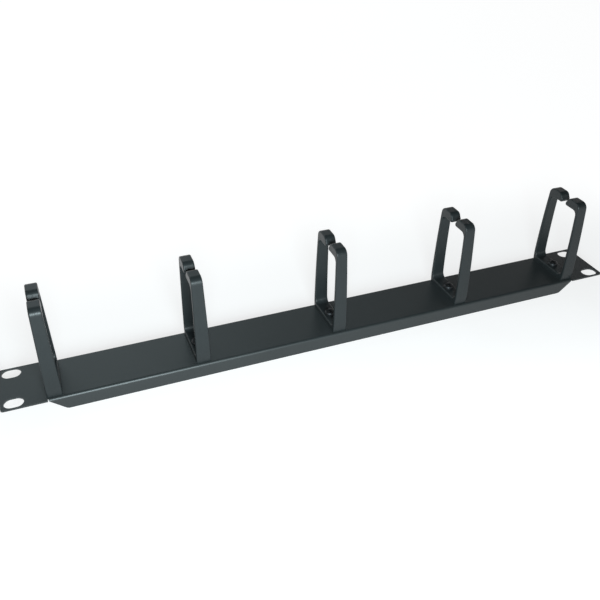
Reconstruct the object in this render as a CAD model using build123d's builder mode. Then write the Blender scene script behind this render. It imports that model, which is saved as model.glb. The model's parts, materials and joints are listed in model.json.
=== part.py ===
from build123d import *
from math import radians, sqrt, tan
import os

# Rack cable management panel, one unit high: a folded steel face panel that carries five moulded
# cable rings, each held by one screw, washer and nut. Lengths are in millimetres.
# The panel lies on its two folded edges with the rings pointing up. X runs along the panel, Y across it,
# and +Z is the side that faces out of the rack. The origin is on the ground, under the panel's middle.

os.makedirs("parts", exist_ok=True)

# Face panel
panel_length = 482.6
panel_height = 43.7
sheet = 1.2
ear_corner_radius = 2.0

# Rack slots, four on the standard grid
slot_end_distance = 8.75
slot_edge_distance = 5.975
slot_length = 13.0
slot_width = 9.8

# Folded channel between the ears
ear_length = 30.3
fold_setback = 0.65
channel_depth = 10.8
bend_inner_radius = 0.8
flange_slant = 11.0
flange_corner_radius = 4.0
lance_gap = 0.4

# Cable rings: places along the panel, then the band's half outline and its section
inner_ring_x = 104.5
outer_ring_from_fold_end = 4.5
ring_height = 69.2
foot_setback = 0.2
foot_thickness = 4.0
bulge_out = 0.8
bulge_z = 10.0
shoulder_lean = 1.9
leg_thickness_foot = 2.8
leg_thickness_top = 2.7
arm_thickness = 7.0
arm_end_lean = 2.6
lip_height = 2.4
mouth_width = 4.4
band_width_foot = 10.6
band_width_top = 8.0
shoulder_radius = 5.0
arm_end_radius = 4.0
arm_tip_radius = 1.5
inner_shoulder_radius = 3.8
inner_foot_radius = 3.8
band_edge_radius = 0.9

# Locating pegs that stop each ring from turning
peg_radius = 1.5
peg_pitch = 26.0
peg_length = 1.0
peg_clearance = 0.2

# Ring screws, metric size four
screw_radius = 2.0
screw_clearance = 0.25
screw_reach = 0.8
screw_tip_chamfer = 0.5
head_radius = 4.0
head_height = 2.6
head_edge_radius = 1.8
recess_span = 4.4
recess_width = 1.1
recess_depth = 1.5
recess_floor_span = 2.8
recess_floor_width = 0.8

# Washers and nuts behind the panel
washer_radius = 4.5
washer_thickness = 0.8
washer_clearance = 0.15
nut_flats = 7.0
nut_thickness = 3.2
nut_clearance = 0.1
nut_turning_angle = 30
nut_turning_allowance = 0.3

# Levels, lengths and places that follow from the sizes above
face_z = channel_depth
slot_pitch_x = panel_length - 2 * slot_end_distance
slot_pitch_y = panel_height - 2 * slot_edge_distance
channel_length = panel_length - 2 * ear_length
channel_height = panel_height - 2 * fold_setback
bend_outer_radius = bend_inner_radius + sheet
flat_height = channel_height - 2 * bend_outer_radius
outer_ring_x = channel_length / 2 - outer_ring_from_fold_end
ring_places = [-outer_ring_x, -inner_ring_x, 0, inner_ring_x, outer_ring_x]
foot_half = flat_height / 2 - foot_setback
bulge_half = foot_half + bulge_out
shoulder_half = bulge_half - shoulder_lean
head_seat_z = face_z + foot_thickness
washer_seat_z = face_z - sheet
nut_seat_z = washer_seat_z - washer_thickness
screw_length = foot_thickness + sheet + washer_thickness + nut_thickness + screw_reach

# Panel: a blank with ears, a channel folded from it, slanted flange ends, then the punched holes
with BuildPart() as panel:
    with BuildSketch(Plane.XY.offset(face_z)) as blank:
        Rectangle(panel_length, panel_height)
        fillet(blank.vertices(), ear_corner_radius)
        with GridLocations(0, panel_height + flat_height, 1, 2):
            Rectangle(channel_length + 2 * lance_gap, panel_height, mode=Mode.SUBTRACT)
    extrude(amount=-sheet)

    with BuildSketch(Plane.YZ) as channel_section:
        with BuildSketch(mode=Mode.PRIVATE) as channel_inside:
            Rectangle(channel_height - 2 * sheet, channel_depth - sheet, align=(Align.CENTER, Align.MIN))
            fillet(channel_inside.vertices().group_by(Axis.Y)[-1], bend_inner_radius)
        Rectangle(channel_height, channel_depth, align=(Align.CENTER, Align.MIN))
        fillet(channel_section.vertices().group_by(Axis.Y)[-1], bend_outer_radius)
        add(channel_inside.sketch, mode=Mode.SUBTRACT)
    extrude(amount=channel_length / 2, both=True)

    with BuildSketch(Plane.XZ) as flange_ends:
        with BuildLine():
            Polyline(
                (channel_length / 2, channel_depth - sheet),
                (channel_length / 2, 0),
                (channel_length / 2 - flange_slant, 0),
                close=True,
            )
        make_face()
        mirror(about=Plane.YZ)
    extrude(amount=channel_height, both=True, mode=Mode.SUBTRACT)
    fillet(panel.edges().filter_by(Axis.Y).group_by(Axis.Z)[0], flange_corner_radius)

    with BuildSketch(Plane.XY.offset(face_z)) as punched_holes:
        with GridLocations(slot_pitch_x, slot_pitch_y, 2, 2):
            SlotOverall(slot_length, slot_width)
        with Locations([(x, 0) for x in ring_places]):
            Circle(screw_radius + screw_clearance)
            with GridLocations(0, peg_pitch, 1, 2):
                Circle(peg_radius + peg_clearance)
    extrude(amount=-sheet, mode=Mode.SUBTRACT)

# Cable ring: half of the band's outline is drawn and mirrored, the band narrows towards its top, and
# its rims are rounded
with BuildPart() as cable_ring:
    with BuildSketch(Plane.YZ) as band:
        foot_corner = (foot_half, 0)
        bulge = (bulge_half, bulge_z)
        shoulder = (shoulder_half, ring_height)
        arm_end = (mouth_width / 2 + arm_end_lean, ring_height)
        arm_tip = (mouth_width / 2, ring_height - arm_thickness)
        lip_top = (mouth_width / 2, ring_height - arm_thickness + lip_height)
        inner_shoulder = (shoulder_half - leg_thickness_top, ring_height - arm_thickness)
        inner_bulge = (bulge_half - leg_thickness_foot, bulge_z)
        inner_foot_corner = (foot_half - leg_thickness_foot, foot_thickness)
        with BuildLine():
            Line((0, 0), foot_corner)
            TangentArc(bulge, foot_corner, tangent=(0, -1))
            TangentArc(bulge, shoulder, tangent=(0, 1))
            Polyline(shoulder, arm_end, lip_top, arm_tip, inner_shoulder)
            TangentArc(inner_bulge, inner_shoulder, tangent=(0, 1))
            TangentArc(inner_bulge, inner_foot_corner, tangent=(0, -1))
            Polyline(inner_foot_corner, (0, foot_thickness), (0, 0))
        make_face()
        fillet(band.vertices().sort_by_distance(shoulder)[0], shoulder_radius)
        fillet(band.vertices().sort_by_distance(arm_end)[0], arm_end_radius)
        fillet(band.vertices().sort_by_distance(lip_top)[0], arm_tip_radius)
        fillet(band.vertices().sort_by_distance(arm_tip)[0], arm_tip_radius)
        fillet(band.vertices().sort_by_distance(inner_shoulder)[0], inner_shoulder_radius)
        fillet(band.vertices().sort_by_distance(inner_foot_corner)[0], inner_foot_radius)
        mirror(about=Plane.YZ)
    extrude(amount=band_width_foot / 2, both=True)

    with BuildSketch(Plane.XZ) as band_front:
        with BuildLine():
            Polyline(
                (-band_width_foot / 2, 0),
                (band_width_foot / 2, 0),
                (band_width_top / 2, ring_height),
                (-band_width_top / 2, ring_height),
                close=True,
            )
        make_face()
    extrude(amount=2 * bulge_half, both=True, mode=Mode.INTERSECT)

    side_faces = cable_ring.faces().sort_by(Axis.X)
    rims = side_faces[0].edges() + side_faces[-1].edges()
    fillet(rims.filter_by(lambda edge: edge.center().Z > band_edge_radius), band_edge_radius)

    with Locations((0, 0, foot_thickness)):
        Hole(screw_radius + screw_clearance, depth=foot_thickness)
    with BuildSketch(Plane.XY) as pegs:
        with GridLocations(0, peg_pitch, 1, 2):
            Circle(peg_radius)
    extrude(amount=-peg_length)

# Pan-head screw with a cross recess, drawn with the underside of its head at zero height
with BuildPart() as ring_screw:
    with BuildSketch(Plane.XZ) as head_half:
        Rectangle(head_radius, head_height, align=(Align.MIN, Align.MIN))
        fillet(head_half.vertices().sort_by_distance((head_radius, head_height))[0], head_edge_radius)
    revolve(axis=Axis.Z)
    with BuildSketch(Plane.XY.offset(head_height)) as recess_mouth:
        Rectangle(recess_span, recess_width)
        Rectangle(recess_width, recess_span)
    with BuildSketch(Plane.XY.offset(head_height - recess_depth)) as recess_floor:
        Rectangle(recess_floor_span, recess_floor_width)
        Rectangle(recess_floor_width, recess_floor_span)
    loft(mode=Mode.SUBTRACT)
    with BuildSketch(Plane.XY) as shank_section:
        Circle(screw_radius)
    extrude(amount=-screw_length)
    chamfer(ring_screw.edges().group_by(Axis.Z)[0], screw_tip_chamfer)

# Plain washer, drawn with its upper face at zero height
with BuildPart() as ring_washer:
    with BuildSketch(Plane.XY) as washer_section:
        Circle(washer_radius)
        Circle(screw_radius + washer_clearance, mode=Mode.SUBTRACT)
    extrude(amount=-washer_thickness)

# Hexagon nut with its corners turned off at both ends, drawn with its upper face at zero height
with BuildPart() as ring_nut:
    with BuildSketch(Plane.XY) as hexagon:
        RegularPolygon(nut_flats / 2, 6, major_radius=False)
    extrude(amount=-nut_thickness)
    with BuildSketch(Plane.XZ) as turned_half:
        turned_radius = nut_flats / sqrt(3) + nut_turning_allowance
        turned_drop = (turned_radius - nut_flats / 2) * tan(radians(nut_turning_angle))
        with BuildLine():
            Polyline(
                (0, 0),
                (nut_flats / 2, 0),
                (turned_radius, -turned_drop),
                (turned_radius, turned_drop - nut_thickness),
                (nut_flats / 2, -nut_thickness),
                (0, -nut_thickness),
                close=True,
            )
        make_face()
    revolve(axis=Axis.Z, mode=Mode.INTERSECT)
    Hole(screw_radius + nut_clearance)

panel.part.label = "panel"
export_step(panel.part, "parts/panel.step")

# Each ring takes one screw, one washer and one nut, all on the ring's own centre line
ring_pieces = {
    "cable_ring": (cable_ring.part, face_z),
    "ring_screw": (ring_screw.part, head_seat_z),
    "ring_washer": (ring_washer.part, washer_seat_z),
    "ring_nut": (ring_nut.part, nut_seat_z),
}
for kind, (piece, seat_z) in ring_pieces.items():
    for number, x in enumerate(ring_places, start=1):
        placed = Pos(x, 0, seat_z) * piece
        placed.label = f"{kind}_{number}"
        export_step(placed, f"parts/{placed.label}.step")
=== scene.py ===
# %% [markdown]
# # A rack cable management panel
# A one-unit panel of folded, powder-coated steel carries five moulded nylon rings in a row. Cables lie in
# the rings, and the slotted ears at both ends bolt to the rack.
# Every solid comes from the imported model, which stays as it is. Blender adds what a CAD solid lacks: the
# finish of each surface, the floor, the lamps and the camera.

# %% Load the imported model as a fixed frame
import json
from math import cos, radians, sin

import bpy
import numpy as np
from mathutils import Matrix, Vector


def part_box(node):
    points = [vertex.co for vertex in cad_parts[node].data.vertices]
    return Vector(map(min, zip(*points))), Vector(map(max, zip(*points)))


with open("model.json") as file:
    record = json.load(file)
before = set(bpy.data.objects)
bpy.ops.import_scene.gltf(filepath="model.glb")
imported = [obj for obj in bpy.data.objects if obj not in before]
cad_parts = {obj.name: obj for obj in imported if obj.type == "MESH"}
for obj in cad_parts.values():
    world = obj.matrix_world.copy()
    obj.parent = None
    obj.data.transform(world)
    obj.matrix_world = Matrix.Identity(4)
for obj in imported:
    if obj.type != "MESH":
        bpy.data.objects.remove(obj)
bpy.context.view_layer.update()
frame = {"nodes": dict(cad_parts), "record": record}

nodes = frame["nodes"]

# %% [markdown]
# ## Sizes that the finishes follow
# A finish that sits on an edge or round a hole has to know where that edge or hole is. The places are read
# from the frame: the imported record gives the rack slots, and the boxes of the nodes give the ring places and
# the levels. So a change of the CAD moves the finishes with it.

# %% Places of the rings, the slots and the levels
MM = 0.001
record = frame["record"]
slots = next(mount for mount in record["mounts"] if mount["name"] == "rack_slots")["dims"]
_, panel_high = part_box("panel")
ring_boxes = [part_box(f"cable_ring_{number}") for number in range(1, 6)]
ring_places = [(low.x + high.x) / 2 for low, high in ring_boxes]
ring_foot_z = panel_high.z
ring_top_z = ring_boxes[0][1].z
_, washer_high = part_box("ring_washer_3")
print("ring places in mm:", [round(x / MM, 1) for x in ring_places])

# %% [markdown]
# ## Shader maths as plain arithmetic
# Blender's shader editor adds, multiplies and compares with Math nodes. Written out node by node that is
# long and hard to read, so one small class wraps an output socket and overloads Python's operators.
# An expression such as `1 - mask * 0.4` then adds the Math nodes by itself.

# %% A socket that can be added, multiplied and compared
class Signal:
    """One number that varies over a surface, held as the output socket that carries it."""

    def __init__(self, finish, socket):
        self.finish = finish
        self.socket = socket

    def math(self, operation, *others):
        values = {0: self, **dict(enumerate(others, start=1))}
        return self.finish.node("ShaderNodeMath", {"operation": operation}, values)

    def __add__(self, other):
        return self.math("ADD", other)

    __radd__ = __add__

    def __mul__(self, other):
        return self.math("MULTIPLY", other)

    def __sub__(self, other):
        return self.math("SUBTRACT", other)

    def __rsub__(self, other):
        return self.finish.node("ShaderNodeMath", {"operation": "SUBTRACT"}, {0: other, 1: self})

    def __truediv__(self, other):
        return self.math("DIVIDE", other)

    def __pow__(self, other):
        return self.math("POWER", other)

    def __abs__(self):
        return self.math("ABSOLUTE")

    def smaller(self, other):
        return self.math("MINIMUM", other)

    def larger(self, other):
        return self.math("MAXIMUM", other)

    def rise(self, start, end):
        """0 below start, 1 above end and a smooth step between them. A falling step has start above end."""
        low, high, flip = (start, end, False) if start < end else (end, start, True)
        sockets = {"Value": self, "From Min": low, "From Max": high}
        step = self.finish.node("ShaderNodeMapRange", {"interpolation_type": "SMOOTHSTEP"}, sockets)
        return 1 - step if flip else step


# %% [markdown]
# ## One place to build a finish
# A finish is a material made of nodes that end in one Principled shader. `Finish.node` is the one way to add
# a node: its type, its settings, then what goes into its sockets. Patterns read Object coordinates, in
# metres, because every piece of this model stands at the origin with its place in its mesh.

# %% A material under construction
class Finish:
    """A node material: signals over the surface at one end and a Principled shader at the other."""

    def __init__(self, name):
        self.material = bpy.data.materials.new(name)
        self.material.use_nodes = True
        self.tree = self.material.node_tree
        self.tree.nodes.clear()
        self.place = self.node("ShaderNodeTexCoord", output="Object")
        self.x, self.y, self.z = (
            self.node("ShaderNodeSeparateXYZ", sockets={"Vector": self.place}, output=axis) for axis in "XYZ"
        )

    def node(self, kind, settings=None, sockets=None, output=0):
        """Adds a node, sets its settings, then sets or links its sockets, and returns one output."""
        made = self.tree.nodes.new(kind)
        for name, value in (settings or {}).items():
            setattr(made, name, value)
        for name, value in (sockets or {}).items():
            if isinstance(value, Signal):
                self.tree.links.new(value.socket, made.inputs[name])
            else:
                made.inputs[name].default_value = value
        return Signal(self, made.outputs[output])

    def noise(self, feature_mm, detail=2.0):
        """Cloudy noise from 0 to 1 whose blotches are about feature_mm across."""
        sockets = {"Vector": self.place, "Scale": 1 / (feature_mm * MM), "Detail": detail}
        return self.node("ShaderNodeTexNoise", {"noise_dimensions": "3D"}, sockets)

    def blend(self, amount, first, second):
        """A colour that goes from first to second as amount goes from 0 to 1."""
        mix = self.tree.nodes.new("ShaderNodeMix")
        mix.data_type = "RGBA"
        for socket, value in zip((mix.inputs[0], mix.inputs[6], mix.inputs[7]), (amount, first, second)):
            if isinstance(value, Signal):
                self.tree.links.new(value.socket, socket)
            else:
                socket.default_value = value
        return Signal(self, mix.outputs[2])

    def relief(self, height, depth_mm, below=None):
        """A bumped normal: height from 0 to 1 stands depth_mm proud, on top of the relief below."""
        sockets = {"Height": height, "Distance": depth_mm * MM, "Strength": 1.0}
        if below is not None:
            sockets["Normal"] = below
        return self.node("ShaderNodeBump", sockets=sockets)

    def surface(self, **sockets):
        """Ends the material in a Principled shader. Underscores in a name stand for spaces."""
        plugs = {name.replace("_", " "): value for name, value in sockets.items()}
        shader = self.node("ShaderNodeBsdfPrincipled", sockets=plugs)
        output = self.tree.nodes.new("ShaderNodeOutputMaterial")
        self.tree.links.new(shader.socket, output.inputs["Surface"])
        return self.material


def grey(red, green, blue):
    """A colour as Blender wants it: linear red, green and blue, and full opacity."""
    return (red, green, blue, 1.0)


# %% [markdown]
# ## Powder coat on the folded panel
# The panel is sprayed with black powder and baked. The powder flows out to a skin that is almost smooth,
# with the fine orange peel that shows in its reflections, and it is thinnest on the cut edges.
# Three layers do it: slow blotches in the colour, a peel of about half a millimetre in the bump, and a mask
# that finds the edges by arithmetic on the place, since the slots and the outline are known.

# %% How far a point is from a slot's rim
def slot_rim_distance(finish):
    """Distance in metres to the nearest slot's rim: fold the four slots onto one, then measure to a capsule.

    A capsule is all points at one distance from a short line, so the distance to that line less the
    capsule's radius is the distance to its rim.
    """
    radius = slots["hole_r_mm"] * MM
    half_line = slots["slot_length_mm"] * MM / 2 - radius
    from_middle_x = abs(abs(finish.x) - slots["spacing_x_mm"] * MM / 2)
    from_middle_y = abs(abs(finish.y) - slots["spacing_y_mm"] * MM / 2)
    past_line = (from_middle_x - half_line).larger(0.0)
    return (past_line * past_line + from_middle_y * from_middle_y) ** 0.5 - radius


# %% The black powder coat
def powder_coat():
    coat = Finish("powder_coat")
    blotches = coat.noise(38.0, detail=3.0)
    peel = coat.noise(0.9, detail=1.5)
    grain = coat.noise(0.22, detail=1.0)
    ends = (abs(coat.x) - (panel_high.x - 0.5 * MM)).rise(0.0, 0.5 * MM)
    feet = coat.z.rise(0.6 * MM, 0.1 * MM)
    rims = slot_rim_distance(coat).rise(0.7 * MM, 0.1 * MM)
    thin = ends.larger(feet).larger(rims) * coat.noise(2.5, detail=3.0).rise(0.35, 0.75)
    colour = coat.blend(blotches, grey(0.0195, 0.0228, 0.0234), grey(0.0270, 0.0308, 0.0317))
    colour = coat.blend(thin * 0.55, colour, grey(0.060, 0.064, 0.066))
    rough = 0.37 + blotches * 0.06 + grain * 0.04 - thin * 0.05
    bumped = coat.relief(grain, 0.004, below=coat.relief(peel, 0.012))
    return coat.surface(Base_Color=colour, Roughness=rough, Normal=bumped, IOR=1.48)


print("finish:", powder_coat.__name__)

# %% [markdown]
# ## Moulded nylon for the rings
# The rings are black nylon from a steel mould. The mould's fine spark texture makes them satin, and where
# its two halves meet it leaves a hair-thin parting line round the middle of the band. Cables polish the
# top of the ring, round its mouth.
# The parting line is relief from one distance: how far a point is from its ring's middle plane.

# %% The black nylon
def moulded_nylon():
    nylon = Finish("moulded_nylon")
    clouds = nylon.noise(14.0, detail=2.0)
    texture = nylon.noise(0.35, detail=1.0)
    sinks = nylon.noise(9.0, detail=0.0)
    off_middle = abs(nylon.x - ring_places[0])
    for place in ring_places[1:]:
        off_middle = off_middle.smaller(abs(nylon.x - place))
    seam = off_middle.rise(0.14 * MM, 0.02 * MM)
    above = nylon.z.rise(ring_foot_z + 0.85 * (ring_top_z - ring_foot_z), ring_top_z)
    colour = nylon.blend(clouds, grey(0.0180, 0.0213, 0.0222), grey(0.0232, 0.0270, 0.0284))
    rough = 0.34 + clouds * 0.05 + texture * 0.04 - above * 0.04
    bumped = nylon.relief(texture, 0.006, below=nylon.relief(sinks, 0.03))
    bumped = nylon.relief(seam, 0.03, below=bumped)
    return nylon.surface(Base_Color=colour, Roughness=rough, Normal=bumped, IOR=1.36)


print("finish:", moulded_nylon.__name__)

# %% [markdown]
# ## Plated fasteners
# The screws are black zinc, the washers and nuts bright zinc. A plated steel part reflects as metal, so its
# look is in the roughness: fine scratches from the rolling and the tumbling barrel.
# The CAD screw has a plain shank. Its thread is relief that repeats with the height: a ridge every 0.7 mm,
# from the panel's back face down.

# %% Black zinc, bright zinc
def black_zinc():
    zinc = Finish("black_zinc")
    stains = zinc.noise(1.6, detail=3.0)
    scratches = zinc.noise(0.12, detail=1.0)
    pitch = 0.7 * MM
    along = (zinc.z / pitch).math("FRACT")
    ridge = abs(along - 0.5).rise(0.5, 0.0)
    threaded = zinc.z.rise(washer_high.z + 0.1 * MM, washer_high.z - 0.1 * MM)
    colour = zinc.blend(stains, grey(0.028, 0.029, 0.031), grey(0.050, 0.052, 0.055))
    rough = 0.42 + stains * 0.10 + scratches * 0.05
    bumped = zinc.relief(ridge * threaded, 0.25, below=zinc.relief(scratches, 0.003))
    return zinc.surface(Base_Color=colour, Metallic=0.85, Roughness=rough, Normal=bumped)


def bright_zinc():
    zinc = Finish("bright_zinc")
    spangle = zinc.noise(1.2, detail=4.0)
    scratches = zinc.noise(0.15, detail=1.0)
    colour = zinc.blend(spangle, grey(0.50, 0.51, 0.53), grey(0.64, 0.65, 0.66))
    rough = 0.26 + spangle * 0.14 + scratches * 0.05
    bumped = zinc.relief(scratches, 0.003)
    return zinc.surface(Base_Color=colour, Metallic=1.0, Roughness=rough, Normal=bumped)


print("finishes:", black_zinc.__name__, bright_zinc.__name__)

# %% Put each finish on its nodes
finishes = {
    "panel": powder_coat(),
    "cable_ring": moulded_nylon(),
    "ring_screw": black_zinc(),
    "ring_washer": bright_zinc(),
    "ring_nut": bright_zinc(),
}
for name, node in nodes.items():
    node.data.materials.clear()
    node.data.materials.append(finishes[name.rstrip("0123456789").rstrip("_")])
print("finished nodes:", len(nodes))

# %% [markdown]
# ## Floor and backdrop
# The panel lies on its folded edges on a white studio cove: a round floor whose rim curves up into a wall,
# so that no horizon shows from any side. What the camera sees of the cove, straight or in a reflection,
# is lifted to white by a glow that the other rays don't meet. So the glow lights no matt surface. The glow
# is a little weaker beside the panel, where the lamps' soft shadow of the object would else be lost in
# white: that dimmer ring of glow is painted shade round the panel, on top of the lamps' own shadow.

# %% A white cove that keeps the shadow, with painted shade round the panel
def cove(name, floor_radius, bend_radius, around=96, along=24):
    """A round floor that bends up into a wall, as one surface.

    The profile runs along a quarter circle: its distance from the middle is floor_radius plus bend_radius
    times the sine of the angle, and its height is bend_radius times one less the cosine. Each point of the
    profile is then turned once round the vertical axis, and the floor's rim is closed with one flat face.
    """
    turn = np.linspace(0, 2 * np.pi, around, endpoint=False)
    rise = np.linspace(0, np.pi / 2, along)
    reach = floor_radius + bend_radius * np.sin(rise)[:, None]
    height = bend_radius * (1 - np.cos(rise))[:, None]
    grid = np.stack([reach * np.cos(turn), reach * np.sin(turn), height + 0 * turn], axis=-1)
    points = grid.reshape(-1, 3)
    ring = np.arange(around)
    start = (np.arange(along - 1) * around)[:, None]
    here, after = start + ring, start + (ring + 1) % around
    quads = np.stack([here, here + around, after + around, after], axis=-1).reshape(-1, 4)
    mesh = bpy.data.meshes.new(name)
    mesh.from_pydata(points.tolist(), [], [ring.tolist()] + quads.tolist())
    mesh.shade_smooth()
    surface = bpy.data.objects.new(name, mesh)
    bpy.context.scene.collection.objects.link(surface)
    return surface


def background_rays(finish):
    """1 on the rays that show a background, straight or in a reflection, and 0 on the rest."""
    seen = finish.node("ShaderNodeLightPath", output="Is Camera Ray")
    for ray in ("Is Glossy Ray", "Is Transmission Ray"):
        seen = seen.larger(finish.node("ShaderNodeLightPath", output=ray))
    return seen


def white_sweep(near, far):
    """Pale paint that glows on the background's rays only: by near beside the panel, by far away from it.

    The distance is the one to the panel's middle line: what is past the line's end along x, and y, make the
    two short sides of a right triangle, and its long side is the distance. The lower glow near the panel is
    painted shade, a faint grey halo round the object.
    """
    sweep = Finish("white_sweep")
    past_end = (abs(sweep.x) - panel_high.x).larger(0.0)
    distance = (past_end * past_end + sweep.y * sweep.y) ** 0.5
    fade_start, fade_end = 0.03, 0.22
    # Painted shade: the glow is near beside the panel and rises to far away from it, a grey halo round it.
    glow_with_painted_shade = near + distance.rise(fade_start, fade_end) * (far - near)
    return sweep.surface(
        Base_Color=grey(0.34, 0.34, 0.34),
        Roughness=0.9,
        Specular_IOR_Level=0.0,
        Emission_Color=background_rays(sweep) * glow_with_painted_shade,
        Emission_Strength=1.0,
    )


floor = cove("floor", floor_radius=5.0, bend_radius=3.2)
# near below far: the floor's glow paints a faint shade round the panel.
floor.data.materials.append(white_sweep(near=0.77, far=0.93))
print("floor:", floor.name, len(floor.data.polygons), "faces")

# %% [markdown]
# ## Light
# Four soft lamps of one daylight colour light the panel. Two large ones stand high behind it: the satin face
# mirrors them towards the camera, and the left one is the stronger, so the face grows darker to the right.
# A small one stands low and close in front of the left half, where the photo's folded edge and rings are
# brightest, and a weak one farther off fills in the rest.
# The lamps themselves aren't seen by the camera. The world adds a little even grey, and nothing else.

# %% Softboxes and the world
daylight = (0.80, 0.96, 1.0)


def softbox(name, place, target, size, power):
    """A square area lamp of size metres at place, turned to face target."""
    lamp = bpy.data.lights.new(name, "AREA")
    lamp.size = size
    lamp.energy = power
    lamp.color = daylight
    holder = bpy.data.objects.new(name, lamp)
    holder.location = place
    holder.rotation_euler = (Vector(target) - Vector(place)).to_track_quat("-Z", "Y").to_euler()
    holder.visible_camera = False
    bpy.context.scene.collection.objects.link(holder)
    return holder


softbox("back_left", (-0.45, 1.55, 1.15), (-0.1, 0, 0), 1.3, 5.5)
softbox("back_middle", (0.35, 1.6, 1.15), (0, 0, 0), 1.0, 1.3)
softbox("front_left", (-0.16, -0.46, 0.22), (-0.11, 0, 0.02), 0.16, 3.8)
softbox("front_low", (-0.1, -0.85, 0.12), (-0.1, 0, 0.02), 0.4, 0.9)

world = bpy.data.worlds.new("studio")
world.use_nodes = True
world.node_tree.nodes["Background"].inputs["Color"].default_value = grey(0.05, 0.05, 0.05)
bpy.context.scene.world = world
print("lamps:", [lamp.name for lamp in bpy.data.lights])

# %% [markdown]
# ## Camera
# The camera stands in front of the left half of the panel, turned to the right and looking down. Its place,
# angles and lens were solved from the photograph, from the slots, the ears and the rings.

# %% The photograph's viewpoint
camera_place = Vector((-184.74, -411.86, 335.59)) * MM
azimuth, elevation, roll = radians(21.237), radians(34.414), radians(0.462)
photo_width_px, focal_length_px = 600, 719.54
sensor_width_mm = 36.0

forward = Vector((cos(elevation) * sin(azimuth), cos(elevation) * cos(azimuth), -sin(elevation)))
level_right = forward.cross(Vector((0, 0, 1))).normalized()
level_up = level_right.cross(forward)
right = cos(roll) * level_right + sin(roll) * level_up
up = cos(roll) * level_up - sin(roll) * level_right
camera_data = bpy.data.cameras.new("camera")
camera_data.sensor_width = sensor_width_mm
camera_data.lens = sensor_width_mm * focal_length_px / photo_width_px
camera_data.clip_start, camera_data.clip_end = 0.01, 50.0
camera = bpy.data.objects.new("camera", camera_data)
camera.matrix_world = Matrix.Translation(camera_place) @ Matrix((right, up, -forward)).transposed().to_4x4()
bpy.context.scene.collection.objects.link(camera)
bpy.context.scene.camera = camera
bpy.context.scene.view_settings.view_transform = "Standard"
print("camera:", [round(v, 4) for v in camera.location], "lens", round(camera_data.lens, 2))
